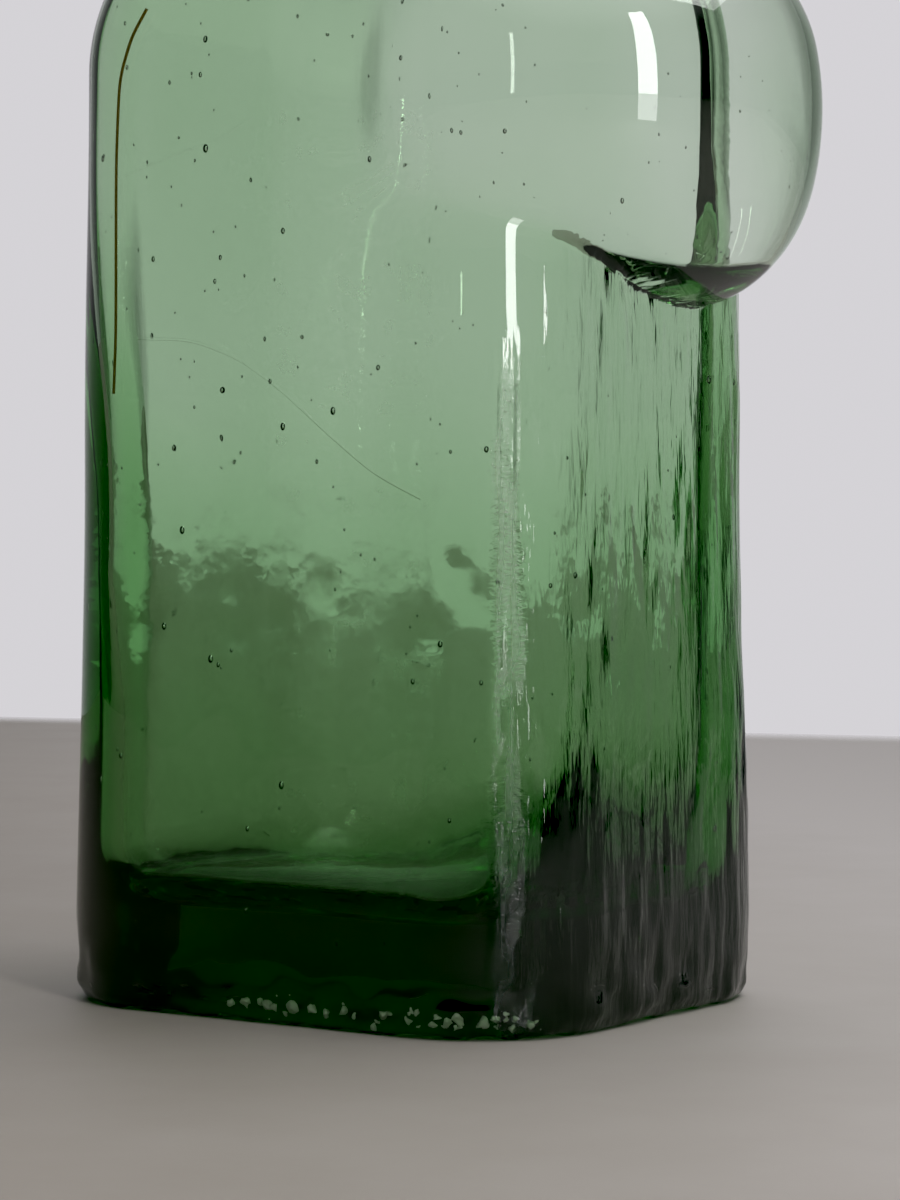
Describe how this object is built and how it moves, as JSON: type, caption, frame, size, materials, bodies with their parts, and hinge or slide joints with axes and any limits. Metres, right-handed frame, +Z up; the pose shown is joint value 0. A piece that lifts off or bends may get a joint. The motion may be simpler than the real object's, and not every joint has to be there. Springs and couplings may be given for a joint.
{
  "type": "glass bottle",
  "caption": "Square mould-blown green glass bottle with a round bubble pushed out of one side, a short collared neck and a cork stopper with a glass ball.",
  "frame": {"origin": "where the neck's axis meets the surface the bottle stands on", "axes": "+Z up along the neck; +X out through the side that carries the bubble; the wide faces look along -Y and +Y, and the bubble runs smoothly into the -Y one"},
  "size_m": [0.1143, 0.0782, 0.2487],
  "materials": {
    "green_glass": "clear green glass with seeds, cords and mould marks",
    "cork": "natural cork, matte",
    "knob_glass": "clear green glass, polished"
  },
  "bodies": {
    "bottle": {"bottle_body": "green_glass"},
    "cork": {"stopper_cork": "cork"},
    "knob": {"stopper_knob": "knob_glass"}
  },
  "joints": [
    {"name": "stopper_lift", "type": "slide", "parent": "bottle", "child": "cork", "axis": [0, 0, 1], "range_m": [0, 0.03]},
    {"name": "knob_twist", "type": "hinge", "parent": "cork", "child": "knob", "pos_m": [0, 0, 0.2], "axis": [0, 0, 1], "continuous": true}
  ]
}
